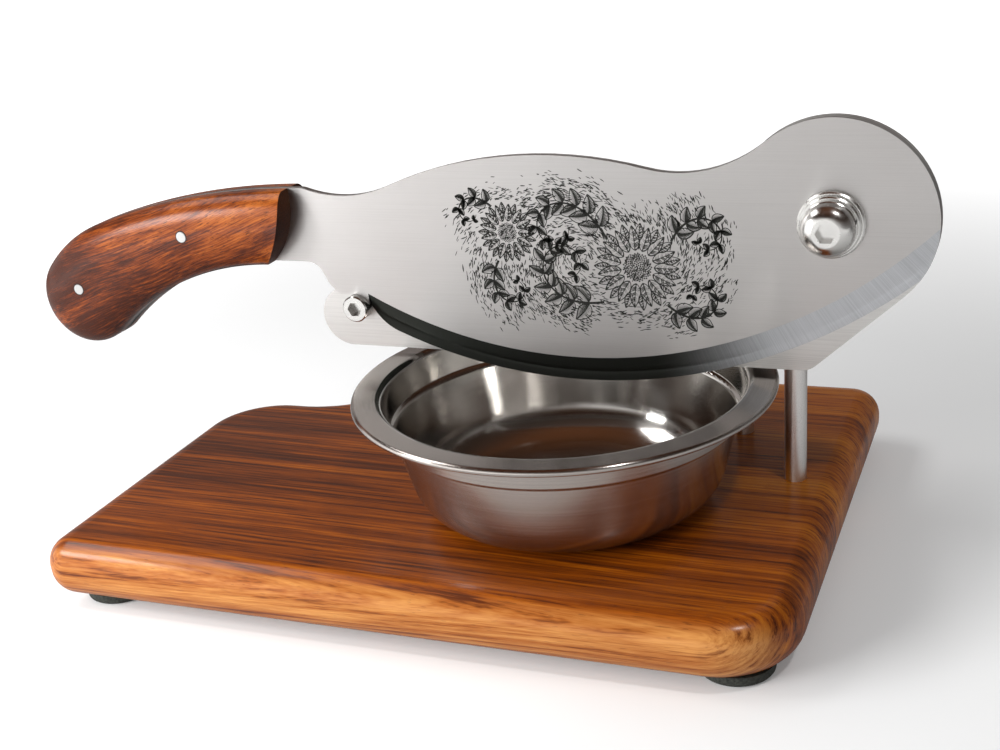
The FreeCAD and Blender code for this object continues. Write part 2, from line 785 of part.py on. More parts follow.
def handle_scale(inner_y, outward):
    """One wooden half: well rounded outside, then cut square to a round front end."""
    outer_y = inner_y + outward.y * scale_thickness
    front_y = min(inner_y, outer_y)
    rear_y = max(inner_y, outer_y)
    blank = grip_blank(front_y, rear_y)
    blank_end = handle_start[0] + scale_edge_round
    rim = [edge for edge in blank.Edges
           if all(abs(corner.Y - outer_y) < 0.01 for corner in edge.Vertexes)
           and any(corner.X < blank_end - 0.01 for corner in edge.Vertexes)]
    shape = blank.makeFillet(scale_edge_round, rim).common(grip_zone(front_y, rear_y))
    for x, z in (inner_pin, outer_pin):
        shape = shape.cut(bore(x, z, pin_radius + close_gap, front_y, rear_y))
    return on_pivot(shape)


def handle_pin(place):
    return on_pivot(rod(place[0], place[1], pin_radius, blade_front_y - scale_thickness,
                        blade_rear_y + scale_thickness))


# ---- bowl ------------------------------------------------------------------------
def catch_bowl():
    """Spun from sheet: the outer line is walked from the axis, and the wall lies inside it."""
    path = Walk(0, 0, 0)
    path.line(bowl_base_radius)
    path.arc(bowl_toe_radius, bowl_toe_turn)
    path.line(bowl_side_length)
    path.arc(bowl_ridge_radius, -bowl_ridge_turn)
    path.line(bowl_ridge_length)
    path.arc(bowl_ridge_radius, bowl_collar_lean - path.heading)
    lean = math.radians(bowl_collar_lean)
    mouth_rise = bowl_mouth_radius * (1 - math.cos(lean))
    path.line((bowl_height - bowl_wall - mouth_rise - path.z) / math.sin(lean))
    path.arc(bowl_mouth_radius, -bowl_collar_lean)
    path.line(bowl_rim_radius - bowl_wall - bowl_curl_radius - path.x)
    path.arc(bowl_curl_radius, -bowl_curl_turn)
    sheet = path.wire().makeOffset2D(bowl_wall, 0, True, True)
    shape = sheet.revolve(V(0, 0, 0), UP, 360)
    shape.translate(V(pivot_x - bowl_left, plate_front_y - bowl_front, board_top_z + rest_gap))
    return shape


nodes = {
    "base_board": base_board,
    "foot_screws": foot_screws,
    "post_front": lambda: post(front_post),
    "post_rear": lambda: post(rear_post),
    "post_washers": post_washers,
    "post_nuts": post_nuts,
    "plate_bracket": plate_bracket,
    "anvil_plate": anvil_plate,
    "plate_screws": plate_screws,
    "plate_nuts": plate_nuts,
    "stop_screw": stop_screw,
    "stop_washer": stop_washer,
    "stop_nut": stop_nut,
    "pivot_bush": pivot_bush,
    "pivot_flat_washer": pivot_flat_washer,
    "pivot_spring_washer": pivot_spring_washer,
    "pivot_bolt": pivot_bolt,
    "pivot_rear_washer": pivot_rear_washer,
    "pivot_lock_nut": pivot_lock_nut,
    "lock_nut_ring": lock_nut_ring,
    "blade": blade,
    "handle_scale_front": lambda: handle_scale(blade_front_y, FRONT),
    "handle_scale_rear": lambda: handle_scale(blade_rear_y, BACK),
    "handle_pin_inner": lambda: handle_pin(inner_pin),
    "handle_pin_outer": lambda: handle_pin(outer_pin),
    "catch_bowl": catch_bowl,
}
for name, place in foot_places.items():
    nodes[name] = lambda place=place: foot(place)

os.makedirs("parts", exist_ok=True)
for name, make in nodes.items():
    shape = make()
    shape.exportStep("parts/" + name + ".step")
    box = shape.BoundBox
    print(name, len(shape.Solids), "valid" if shape.isValid() else "NOT VALID",
          round(shape.Volume, 1), "x", round(box.XMin, 2), round(box.XMax, 2),
          "y", round(box.YMin, 2), round(box.YMax, 2), "z", round(box.ZMin, 2), round(box.ZMax, 2))
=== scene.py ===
# %% [markdown]
# # A hand-lever slicer for dried meat
# A curved shear blade swings past a steel anvil plate.  Two posts carry the plate over a
# lacquered board, and a spun steel bowl catches the slices.  The engineering model comes in
# as a fixed frame; these cells dress it, one piece and one finish at a time.

# %% Load the frame
import json
import math

import bmesh
import bpy
import numpy as np
from mathutils import Matrix, Vector


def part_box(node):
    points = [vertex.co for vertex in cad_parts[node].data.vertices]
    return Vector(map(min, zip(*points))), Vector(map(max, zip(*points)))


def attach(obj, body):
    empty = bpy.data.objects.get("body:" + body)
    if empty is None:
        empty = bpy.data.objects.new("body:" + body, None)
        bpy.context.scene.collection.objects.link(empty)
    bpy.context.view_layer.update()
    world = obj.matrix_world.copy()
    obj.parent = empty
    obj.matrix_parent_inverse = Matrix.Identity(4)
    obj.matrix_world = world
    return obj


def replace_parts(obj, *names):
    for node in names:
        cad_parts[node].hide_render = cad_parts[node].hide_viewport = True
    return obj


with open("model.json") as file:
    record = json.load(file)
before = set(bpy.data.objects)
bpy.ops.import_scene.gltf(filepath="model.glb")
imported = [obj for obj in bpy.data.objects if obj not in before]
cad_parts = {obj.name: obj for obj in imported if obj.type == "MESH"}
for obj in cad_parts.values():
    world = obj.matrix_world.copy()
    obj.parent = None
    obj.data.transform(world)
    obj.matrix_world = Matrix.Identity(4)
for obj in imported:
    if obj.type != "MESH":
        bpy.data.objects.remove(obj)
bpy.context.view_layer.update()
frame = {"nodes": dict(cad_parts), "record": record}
MM = 0.001
print("nodes in the frame:", len(frame["nodes"]))

# %% [markdown]
# ## Camera
# The camera stands in front of the blade and to its right, a little above it.  Its turn is
# given as yaw, pitch and roll, and the two shifts move the picture without turning the view,
# as a lens that slides in front of its film does.

# %% Place the camera
CAMERA_PLACE = (0.211921, -0.456305, 0.252284)
YAW, PITCH, ROLL = (math.radians(angle) for angle in (-21.68, 24.15, 4.53))
LENS, FILM = 50.976, 36.0
SHIFT = (-0.044, 0.074)


def camera_axes(yaw, pitch, roll):
    """The camera's right, up and back: level right and tilted down, mixed by the roll."""
    level = np.array([math.sin(yaw), math.cos(yaw), 0])
    right = np.array([math.cos(yaw), -math.sin(yaw), 0])
    ahead = math.cos(pitch) * level + np.array([0, 0, -math.sin(pitch)])
    down = -math.sin(pitch) * level + np.array([0, 0, -math.cos(pitch)])
    turned_right = math.cos(roll) * right + math.sin(roll) * down
    turned_down = math.cos(roll) * down - math.sin(roll) * right
    return turned_right, -turned_down, -ahead


camera_data = bpy.data.cameras.new("camera")
camera_data.lens, camera_data.sensor_width = LENS, FILM
camera_data.shift_x, camera_data.shift_y = SHIFT
camera_data.clip_start, camera_data.clip_end = 0.01, 20
camera = bpy.data.objects.new("camera", camera_data)
bpy.context.scene.collection.objects.link(camera)
axes = np.array(camera_axes(YAW, PITCH, ROLL)).T
camera.matrix_world = Matrix.Translation(CAMERA_PLACE) @ Matrix(axes.tolist()).to_4x4()
bpy.context.scene.camera = camera
print("camera at", CAMERA_PLACE)

# %% [markdown]
# ## Shader maths in plain expressions
# A shader is a small web of nodes.  To read it as a formula, one class wraps a node's output:
# plus, minus, times and the rest add the Math nodes, and `node` adds any other kind.

# %% The Socket class
class Socket:
    """A value in a shader; Python's own signs work on it."""

    def __init__(self, output):
        self.output = output

    def node(self, kind, settings=None, inputs=None, out=0):
        """Adds a node: its settings first, then the values or links of its sockets."""
        tree = self.output.id_data
        made = tree.nodes.new("ShaderNode" + kind)
        for name, value in (settings or {}).items():
            if name == "stops":
                elements = made.color_ramp.elements
                while len(elements) < len(value):
                    elements.new(1)
                for element, (place, colour) in zip(elements, value):
                    element.position = place
                    element.color = (*colour, 1)
            else:
                setattr(made, name, value)
        for key, value in (inputs or {}).items():
            if isinstance(value, Socket):
                tree.links.new(value.output, made.inputs[key])
            else:
                made.inputs[key].default_value = value
        return Socket(made.outputs[out])

    def math(self, operation, *values):
        return self.node("Math", {"operation": operation}, dict(enumerate(values)))

    def vector(self, operation, *values, out=0):
        """Vector maths; what comes out as one number, such as a length, is output 1."""
        return self.node("VectorMath", {"operation": operation}, dict(enumerate(values)), out)

    def __add__(self, other):
        return self.math("ADD", self, other)

    def __sub__(self, other):
        return self.math("SUBTRACT", self, other)

    def __rsub__(self, other):
        return self.math("SUBTRACT", other, self)

    def __mul__(self, other):
        return self.math("MULTIPLY", self, other)

    __radd__ = __add__
    __rmul__ = __mul__

    def __truediv__(self, other):
        return self.math("DIVIDE", self, other)

    def __gt__(self, other):
        return self.math("GREATER_THAN", self, other)


# %% Helpers on sockets
def mix(factor, first, second):
    """first where the factor is 0, second where it is 1; both are colours.

    A Mix node takes its factor at socket 0 and its two colours at 6 and 7.
    """
    first, second = ((*colour, 1) if isinstance(colour, tuple) else colour
                     for colour in (first, second))
    return factor.node("Mix", {"data_type": "RGBA"}, {6: first, 7: second, 0: factor}, out=2)


def ramp(value, stops):
    """A colour that follows the value through the stops."""
    return value.node("ValToRGB", {"stops": stops}, {0: value})


def fade(value, start, end):
    """0 at start and 1 at end, smooth between; start may be the larger."""
    return value.node("MapRange", {"interpolation_type": "SMOOTHSTEP"},
                      {0: value, 1: start, 2: end, 3: 0.0, 4: 1.0})


def stretched(point, size, turn=(0, 0, 0)):
    """The point after a turn, measured in units of size along each axis."""
    turned = point.node("VectorRotate", {"rotation_type": "EULER_XYZ"},
                        {0: point, "Rotation": turn})
    return turned.vector("DIVIDE", turned, size)


def noise(point, detail=2.0, roughness=0.5):
    """Smooth random values round 0.5; one blot is about one unit wide."""
    return point.node("TexNoise", {}, {"Vector": point, "Scale": 1.0, "Detail": detail,
                                       "Roughness": roughness})


def axis_of(point, name):
    """One coordinate of a point."""
    return point.node("SeparateXYZ", {}, {0: point}, out="XYZ".index(name))


def reach_along(vector, direction):
    """How far a vector goes in a direction."""
    return vector.vector("DOT_PRODUCT", vector, direction, out=1)


def length_of(vector):
    return vector.vector("LENGTH", vector, out=1)


def flattened(point, centre, kept):
    """The way from a centre to the point, without the axes whose kept is 0."""
    away = point.vector("SUBTRACT", point, centre)
    return away.vector("MULTIPLY", away, kept)


def drifted(point, wander, across, up):
    """The point moved across and up by as much as the wander strays from its middle."""
    drift = wander.node("CombineXYZ", {}, {1: (wander - 0.5) * across, 2: (wander - 0.5) * up})
    return point.vector("ADD", point, drift)


def bump(height, distance):
    """A normal that follows the height; distance is how tall a height of 1 stands."""
    return height.node("Bump", {}, {"Strength": 1.0, "Distance": distance, "Height": height})


class Finish:
    """A material with its shader, and the object's own coordinates to draw on."""

    def __init__(self, name, **constants):
        self.material = bpy.data.materials.new(name)
        self.material.use_nodes = True
        tree = self.material.node_tree
        self.shader = tree.nodes["Principled BSDF"]
        own = tree.nodes.new("ShaderNodeTexCoord").outputs
        self.point, self.facing = Socket(own["Object"]), Socket(own["Normal"])
        for key, value in constants.items():
            self.shader.inputs[key.replace("_", " ")].default_value = value

    def set(self, **links):
        for key, value in links.items():
            socket = self.shader.inputs[key.replace("_", " ")]
            self.material.node_tree.links.new(value.output, socket)


print("shader helpers ready")

# %% [markdown]
# ## Wood of the board
# The board is one plank with its grain along its length: dark and orange bands a few
# millimetres wide, thin near-black lines, and short open pores, all under a thin lacquer.
# A noise that is stretched along the grain, and across the plank's slanted growth layers,
# gives the bands.  One set of coordinates serves all faces, so that the bands wrap over the
# rounded edges and run down the ends.  The plank's front edge is paler sapwood.


# %% Board wood
def board_wood():
    wood = Finish("board_wood", Coat_Roughness=0.22, IOR=1.45, Specular_IOR_Level=0.12)
    point = wood.point
    slant = (0.62, 0, 0.012)
    grain = drifted(point, noise(stretched(point, (0.30, 0.08, 0.08)), 1.0), 0.016, 0.010)
    broad = noise(stretched(grain, (0.50, 0.020, 0.060), turn=slant), 1.0)
    bands = noise(stretched(grain, (0.30, 0.0048, 0.030), turn=slant), 2.0, 0.6)
    lines = noise(stretched(grain, (0.06, 0.0012, 0.0060), turn=slant), 4.0, 0.75)
    pores = noise(stretched(grain, (0.0050, 0.00024, 0.00050), turn=slant), 1.0)
    # Painted light and shade: the tone rises towards the right and the back of the board, so its
    # near left is darker.
    painted_light_slope = axis_of(point, "X") * 0.30 + axis_of(point, "Y") * 0.08 - 0.004
    tone = bands * 0.30 + broad * 0.26 + lines * 0.44 + painted_light_slope
    colour = ramp(tone, [(0.36, (0.045, 0.009, 0.0010)), (0.43, (0.105, 0.021, 0.0014)),
                         (0.50, (0.205, 0.042, 0.0018)), (0.56, (0.330, 0.078, 0.0024)),
                         (0.66, (0.520, 0.165, 0.0080))])
    front = fade(axis_of(wood.facing, "Y"), -0.40, -0.85)
    pale = ramp(lines * 0.60 + bands * 0.40 + painted_light_slope, [(0.38, (0.160, 0.032, 0.005)),
                                                      (0.46, (0.370, 0.110, 0.018)),
                                                      (0.60, (0.600, 0.270, 0.075))])
    colour = mix(front * 0.9, colour, pale)
    dark_line = fade(lines, 0.45, 0.35) * (0.60 - front * 0.25)
    colour = mix(dark_line, colour, (0.035, 0.008, 0.003))
    pore = fade(pores, 0.33, 0.27)
    colour = mix(pore * (0.55 - front * 0.25), colour, (0.035, 0.008, 0.003))
    wood.set(Base_Color=colour, Roughness=0.42 + lines * 0.14,
             Coat_Weight=0.40 + broad * 0.2,
             Normal=bump(bands * 0.5 + lines * 0.5 - pore * 0.5, 0.00007))
    return wood.material


# %% [markdown]
# ## Wood of the grip
# The grip is a redder, closer wood, rubbed with oil.  Its grain runs down towards the butt,
# so the coordinates are turned before they are stretched.  Short dark flecks are its pores,
# the cut front end shows dark end grain, and each pin sits in a thin dark ring.


# %% Grip wood
PIN_PLACES = [sum(np.array(corner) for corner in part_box(pin)) / 2
              for pin in ("handle_pin_inner", "handle_pin_outer")]
PIN_RING = 0.00225


def handle_wood():
    wood = Finish("handle_wood", Coat_Roughness=0.22, IOR=1.45, Specular_IOR_Level=0.08)
    point = wood.point
    slope = (0, math.radians(20), 0)
    grain = drifted(point, noise(stretched(point, (0.08, 0.03, 0.03)), 1.0), 0.006, 0.010)
    broad = noise(stretched(grain, (0.05, 0.02, 0.009), turn=slope), 2.0)
    streaks = noise(stretched(grain, (0.012, 0.0010, 0.00055), turn=slope), 4.0, 0.65)
    flecks = noise(stretched(grain, (0.0030, 0.0005, 0.00030), turn=slope), 1.0)
    # Painted shade: the tone falls towards the butt and the lower edge, so the grip looks lit
    # from above at its front.
    painted_grip_shade = reach_along(point, (1.1, 0, 0.7)) + 0.014
    tone = streaks * 0.58 + broad * 0.42 + painted_grip_shade
    colour = ramp(tone, [(0.38, (0.040, 0.007, 0.001)), (0.45, (0.095, 0.017, 0.002)),
                         (0.50, (0.160, 0.031, 0.003)), (0.56, (0.245, 0.055, 0.006)),
                         (0.65, (0.380, 0.105, 0.015))])
    fleck = fade(flecks, 0.38, 0.30)
    colour = mix(fleck * 0.75, colour, (0.028, 0.007, 0.004))
    end_grain = fade(axis_of(wood.facing, "X"), 0.55, 0.80)
    colour = mix(end_grain * 0.85, colour, (0.022, 0.011, 0.008))
    for x, _, z in PIN_PLACES:
        far = length_of(flattened(point, (x, 0, z), (1, 0, 1)))
        colour = mix(fade(far, PIN_RING + 0.0004, PIN_RING), colour, (0.020, 0.008, 0.005))
    wood.set(Base_Color=colour, Roughness=0.40 + streaks * 0.14,
             Coat_Weight=(0.28 + broad * 0.1) * (1 - end_grain),
             Normal=bump(streaks * 0.4 - fleck * 0.8, 0.00010))
    return wood.material


# %% [markdown]
# ## Brushed steel
# Sheet that was brushed in a long-belt machine has fine scratches in one direction.  They
# change the gloss a little and tilt the surface, which spreads a reflection across them.
# A stretched noise draws the scratches, and anisotropy does the spreading that is too fine
# for any noise.

# %% Brushed sheet and bar
def brushed(name, reach, width, colour, gloss):
    """Steel with scratches: of a reach along X, and a width in the other directions."""
    steel = Finish(name, Metallic=1.0, Anisotropic=0.6, Anisotropic_Rotation=0.25)
    scratch = noise(stretched(steel.point, (reach, width, width)), 3.0, 0.65)
    cloud = noise(stretched(steel.point, (0.03, 0.03, 0.03)), 2.0)
    darker = tuple(0.86 * part for part in colour)
    steel.set(Base_Color=mix(fade(scratch, 0.30, 0.60), darker, colour),
              Roughness=gloss + (scratch - 0.5) * 0.16 + (cloud - 0.5) * 0.06,
              Normal=bump(scratch, 0.000012))
    return steel.material


# %% [markdown]
# ## Steel of the blade
# The flats are brushed from the handle to the head.  The cutting edge is an arc, ground on
# one side: its wheel marks run across the edge, so they follow the angle round the arc's
# centre.  A point is on the bevel where it lies near the arc and its surface tilts down.  The
# bevel's colour is a painted reflection: near black at the belly and pale grey towards the
# head, where the bevel is also made dull and scatters light more like stone than like a mirror.

# %% Blade steel
EDGE_RADIUS, BEVEL_WIDTH = 184.4 * MM, 9.6 * MM
PIVOT = sum(np.array(corner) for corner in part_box("pivot_bolt")) / 2
EDGE_CENTRE = (PIVOT[0] - 88.8 * MM, 0, PIVOT[2] + 123.5 * MM)
MARK_WIDTH = 0.22 * MM
# Where the bevel's painted reflection turns from near black to pale grey.
PAINTED_REFLECTION_FROM, PAINTED_REFLECTION_TO = 78 * MM, 130 * MM


def blade_steel():
    """Flats brushed lengthwise; a ground bevel with marks across the edge, coloured as painted
    reflection.
    """
    steel = Finish("blade_steel", Metallic=1.0, Anisotropic=0.85, Anisotropic_Rotation=0.25)
    point = steel.point
    scratch = noise(stretched(point, (0.045, 0.00014, 0.00014)), 3.0, 0.65)
    cloud = noise(stretched(point, (0.05, 0.03, 0.03)), 1.0)
    flat = flattened(point, EDGE_CENTRE, (1, 0, 1))
    radius = length_of(flat)
    angle = flat.math("ARCTAN2", axis_of(flat, "X"), axis_of(flat, "Z"))
    tilted = fade(axis_of(steel.facing, "Z"), -0.10, -0.20)
    ground = (radius > EDGE_RADIUS - BEVEL_WIDTH - 0.0002) * tilted
    marks = {0: angle * (EDGE_RADIUS / MARK_WIDTH), 1: radius / 0.05, 2: 0.5}
    mark = noise(angle.node("CombineXYZ", {}, marks), 3.0, 0.6)
    # Painted reflection: the bevel runs from near black at the belly to pale grey towards the
    # head, and loses most of its metal there.
    painted_reflection_fade = fade(axis_of(point, "X"), PAINTED_REFLECTION_FROM, PAINTED_REFLECTION_TO)
    bevel = mix(painted_reflection_fade, (0.036, 0.039, 0.034), (0.50, 0.51, 0.53))
    bevel = mix(fade(mark, 0.3, 0.7) * 0.25, bevel, (0.05, 0.05, 0.05))
    sheet = mix(fade(scratch, 0.30, 0.60), (0.535, 0.52, 0.51), (0.575, 0.56, 0.55))
    steel.set(Base_Color=mix(ground, sheet, bevel), Metallic=1 - ground * painted_reflection_fade * 0.8,
              Roughness=0.42 + (scratch - 0.5) * 0.10 + (cloud - 0.5) * 0.05 + ground * 0.22,
              Normal=bump(scratch * (1 - ground) + mark * ground * 0.6, 0.00002))
    return steel.material


# %% [markdown]
# ## Polished and spun steel
# Bolts, nuts and washers are smooth and bright, with faint smudges.  The bowl was spun on a
# lathe: its outside keeps rings of scratches round its axis, and its inside is polished.
# Where the surface faces the axis it is the inside, so one finish serves both.

# %% Polished and spun steel
def polished(name, colour=(0.68, 0.67, 0.65), gloss=0.20):
    """Bright steel with faint wear: small smudges that dull it here and there."""
    steel = Finish(name, Metallic=1.0)
    smudge = noise(stretched(steel.point, (0.004, 0.004, 0.004)), 3.0, 0.6)
    worn = noise(stretched(steel.point, (0.0006, 0.0006, 0.0006)), 2.0)
    steel.set(Base_Color=mix(smudge, tuple(0.88 * part for part in colour), colour),
              Roughness=gloss + fade(smudge, 0.4, 0.75) * 0.10,
              Normal=bump(worn, 0.000006))
    return steel.material


def spun(name, centre, colour, gloss=0.24, bright=0.14, line=0.0005):
    """Steel turned round an upright axis: rings of scratches outside, a mirror inside."""
    steel = Finish(name, Metallic=1.0, Anisotropic=0.8, Anisotropic_Rotation=0.25)
    flat = flattened(steel.point, (*centre, 0), (1, 1, 0))
    radius, height = length_of(flat), axis_of(steel.point, "Z")
    rings = radius.node("CombineXYZ", {}, {0: radius / line, 2: height / line})
    scratch = noise(rings, 3.0, 0.6)
    cloud = noise(stretched(steel.point, (0.02, 0.02, 0.02)), 2.0)
    inner = fade(reach_along(flat, steel.facing) / radius, 0.02, -0.10)
    dull = gloss + (scratch - 0.5) * 0.12
    satin = mix(fade(scratch, 0.3, 0.65), tuple(0.85 * part for part in colour), colour)
    steel.set(Base_Color=mix(inner, satin, (0.66, 0.64, 0.61)),
              Roughness=dull + (bright - gloss) * inner + (cloud - 0.5) * 0.06,
              Normal=bump(scratch * (1 - inner * 0.8), 0.000008))
    return steel.material


# %% [markdown]
# ## Rubber and nylon
# The feet are coarse black rubber, greyed by dust, and the lock nut's ring is blue nylon.
# Neither shines, so a fine noise in colour and bump is enough.

# %% Rubber and nylon
def rubber():
    soft = Finish("foot_rubber", Specular_IOR_Level=0.3)
    grit = noise(stretched(soft.point, (0.0009, 0.0009, 0.0009)), 3.0, 0.7)
    soft.set(Base_Color=ramp(grit, [(0.3, (0.018, 0.020, 0.018)), (0.7, (0.075, 0.080, 0.070))]),
             Roughness=0.75 + grit * 0.2, Normal=bump(grit, 0.0002))
    return soft.material


def nylon():
    ring = Finish("lock_ring_nylon")
    grain = noise(stretched(ring.point, (0.0015, 0.0015, 0.0015)), 2.0)
    ring.set(Base_Color=ramp(grain, [(0.3, (0.03, 0.06, 0.18)), (0.7, (0.05, 0.10, 0.28))]),
             Roughness=0.45 + grain * 0.1)
    return ring.material


# %% [markdown]
# ## Which node gets which finish
# The engineering mesh of each node stays as it is and only takes a better material.  The
# record names a slot for each node.  The grip's pins share their slot with the bolts, but
# they were filed flush with the wood, so they are duller.

# %% Dress the nodes
BOWL_CENTRE = tuple((a + b) / 2 for a, b in zip(*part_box("catch_bowl")))[:2]
finishes = {
    "board_wood": board_wood(), "handle_wood": handle_wood(),
    "blade_steel": blade_steel(),
    "plate_steel": brushed("plate_steel", 0.05, 0.00025, (0.61, 0.60, 0.585), 0.36),
    "bowl_steel": spun("bowl_steel", BOWL_CENTRE, (0.50, 0.46, 0.43)),
    # The post's steel is paler than the other sheet: a painted sheen for the bright band of light
    # down the post.
    "post_steel": brushed("post_steel", 0.00025, 0.00025, (0.80, 0.78, 0.76), 0.30),
    "bracket_steel": brushed("bracket_steel", 0.04, 0.0003, (0.52, 0.505, 0.495), 0.34),
    "fastener_steel": polished("fastener_steel"),
    "bush_steel": polished("bush_steel", gloss=0.26),
    "foot_rubber": rubber(),
    "foot_screw_steel": polished("foot_screw_steel", colour=(0.5, 0.48, 0.42), gloss=0.3),
    "lock_ring_nylon": nylon(),
}
slot_of = {part["node"]: part["material_slot"] for part in frame["record"]["subparts"]}
pin_steel = polished("pin_steel", (0.46, 0.46, 0.45), gloss=0.35)
for name, node in frame["nodes"].items():
    node.data.materials.clear()
    node.data.materials.append(pin_steel if "pin_" in name else finishes[slot_of[name]])
print("finishes:", len(finishes))

# %% [markdown]
# ## Meshes from arrays
# A surface is a grid of points.  Its quads follow from the grid's numbering alone, so points
# and faces both come as whole arrays.

# %% Mesh helpers
def grid_faces(rows, columns, first=0):
    """The quads of a grid whose points are numbered along its rows."""
    corner = first + np.arange(rows - 1)[:, None] * columns + np.arange(columns - 1)
    quads = np.stack([corner, corner + 1, corner + columns + 1, corner + columns], axis=-1)
    return quads.reshape(-1, 4)


def strip_faces(first, second):
    """The quads between two rows of point numbers."""
    return np.stack([first[:-1], first[1:], second[1:], second[:-1]], axis=-1)


SHARP_ANGLE = math.radians(40)


def mesh_of(name, points, faces, closed=True):
    """A smooth mesh; a closed one has its doubles merged and its faces turned outward."""
    mesh = bpy.data.meshes.new(name)
    mesh.from_pydata(points.reshape(-1, 3).tolist(), [], faces.tolist())
    if closed:
        work = bmesh.new()
        work.from_mesh(mesh)
        bmesh.ops.remove_doubles(work, verts=work.verts, dist=0.001 * MM)
        bmesh.ops.recalc_face_normals(work, faces=work.faces)
        work.to_mesh(mesh)
        work.free()
    mesh.shade_smooth()
    mesh.set_sharp_from_angle(angle=SHARP_ANGLE)
    return mesh


def riding(name, mesh, material, body):
    """The mesh as a piece of the object that moves with a body."""
    mesh.materials.append(material)
    piece = bpy.data.objects.new(name, mesh)
    bpy.context.scene.collection.objects.link(piece)
    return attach(piece, body)


# %% [markdown]
# ## The grip's outline
# A maker files the two wooden halves flush with the steel tang, so they share its outline:
# a run of arcs that meet without a corner, from the top of the round front end, over the back
# and round the butt, to the underside.  Its place is measured from the inner pin.

# %% Trace the grip
INNER_PIN = PIN_PLACES[0][[0, 2]] / MM
GRIP_START = INNER_PIN + (47.0, 16.6)
GRIP_ARCS = ((281.5, 18.4), (60.2, 30.1), (18.9, 120.5), (19.0, 54.3), (110.5, -43.3))
END_RADIUS = 31.8
END_CENTRE = GRIP_START - (36.4, 4.7)


def toward(angle):
    """Unit vectors at angles in degrees, anticlockwise from +X as seen from the front."""
    turn = np.radians(angle)
    return np.stack([np.cos(turn), np.sin(turn)], axis=-1)


def trace(place, heading, arcs, step=0.5):
    """Points along tangent arcs, each a radius and a turn; a positive turn is to the left."""
    runs = [place[None]]
    for radius, turn in arcs:
        side = math.copysign(90, turn)
        centre = place + radius * toward(heading + side)
        count = math.ceil(radius * math.radians(abs(turn)) / step)
        angles = heading - side + turn * np.arange(1, count + 1) / count
        runs.append(centre + radius * toward(angles))
        place, heading = runs[-1][-1], heading + turn
    return np.concatenate(runs)


def resampled(points, shares):
    """Points at shares of a line's length."""
    way = np.append(0, np.cumsum(np.linalg.norm(np.diff(points, axis=0), axis=1)))
    return np.stack([np.interp(shares * way[-1], way, points[:, axis]) for axis in (0, 1)], -1)


grip_outline = trace(GRIP_START, 180, GRIP_ARCS)
print("grip outline:", len(grip_outline), "points")

# %% [markdown]
# ## The grip's crown
# A block with rounded edges would show flat sides, while a hand-shaped grip swells all over.
# So each half is a pillow: how far the wood stands off the tang depends only on how far a
# point lies from the outline, rising steeply from a low wall and flattening at the crown.
# Rows run from the round front end to the tip of the butt, columns from the lower edge to the
# upper one, and both are denser near the edges, where the pillow bends most.

# %% Shape the wood
ROWS, COLUMNS = 150, 56
WOOD_WALL, WOOD_CROWN, CROWN_REACH, CROWN_POWER = 3.2, 7.7, 15.0, 2.3


def grip_plan():
    """The grid in the tang's plane: chords from the lower edge to the upper edge.

    The first rows bow forward, so that row 0 is the round front end.
    """
    far = np.linalg.norm(grip_outline - END_CENTRE, axis=1)
    wooded = np.flatnonzero((far < END_RADIUS) | (grip_outline[:, 0] < END_CENTRE[0]))
    tip = np.argmax(far)
    shares = np.sin(np.linspace(0, math.pi / 2, ROWS))
    upper = resampled(grip_outline[wooded[0]:tip + 1], shares)[:, None]
    lower = resampled(grip_outline[wooded[-1]:tip - 1:-1], shares)[:, None]
    across = (0.5 - 0.5 * np.cos(np.linspace(0, math.pi, COLUMNS)))[:, None]
    chords = lower + (upper - lower) * across
    ends = [math.degrees(math.atan2(*(edge[0, 0] - END_CENTRE)[::-1])) for edge in (lower, upper)]
    front = END_CENTRE + END_RADIUS * toward(ends[0] + (ends[1] - ends[0]) * across[:, 0])
    return chords + (front - chords[0]) * ((1 - shares) ** 2)[:, None, None]


def inland(points):
    """How far each point lies from the outline: the nearest place on each of its segments."""
    start, run = grip_outline[:-1], np.diff(grip_outline, axis=0)
    away = points[:, None] - start
    share = np.clip((away * run).sum(-1) / (run ** 2).sum(-1), 0, 1)
    return np.linalg.norm(away - share[..., None] * run, axis=2).min(axis=1)


# A superellipse: the wall's height plus the crown's times (1 - (1 - d) ** p) ** (1 / p),
# where d is the distance from the outline over the crown's reach, at most 1.
plan = grip_plan().reshape(-1, 2)
rise = 1 - (1 - np.minimum(inland(plan) / CROWN_REACH, 1)) ** CROWN_POWER
stand = WOOD_WALL + WOOD_CROWN * rise ** (1 / CROWN_POWER)
print("wood stands off the tang by", stand.min().round(2), "to", stand.max().round(2), "mm")

# %% Make both halves
def grip_half(name, node, face_y, outward):
    """The pillow, its flat back on the tang, and the walls that join their edges."""
    numbers = np.arange(ROWS * COLUMNS).reshape(ROWS, COLUMNS)
    outer = np.stack([plan[:, 0], face_y + outward * stand, plan[:, 1]], axis=1)
    back = np.stack([plan[:, 0], np.full(len(plan), face_y), plan[:, 1]], axis=1)
    rims = [numbers[:, 0], numbers[:, -1], numbers[0]]
    walls = [strip_faces(rim, rim + numbers.size) for rim in rims]
    faces = np.concatenate([grid_faces(ROWS, COLUMNS), grid_faces(ROWS, COLUMNS, numbers.size),
                            *walls])
    mesh = mesh_of(name, np.concatenate([outer, back]) * MM, faces)
    half = riding(name, mesh, finishes["handle_wood"], "blade_lever")
    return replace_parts(half, node)


BLADE_FRONT, BLADE_REAR = (corner[1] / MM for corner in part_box("blade"))
grip_half("grip_wood_front", "handle_scale_front", BLADE_FRONT, -1)
grip_half("grip_wood_rear", "handle_scale_rear", BLADE_REAR, 1)
print("grip halves made")

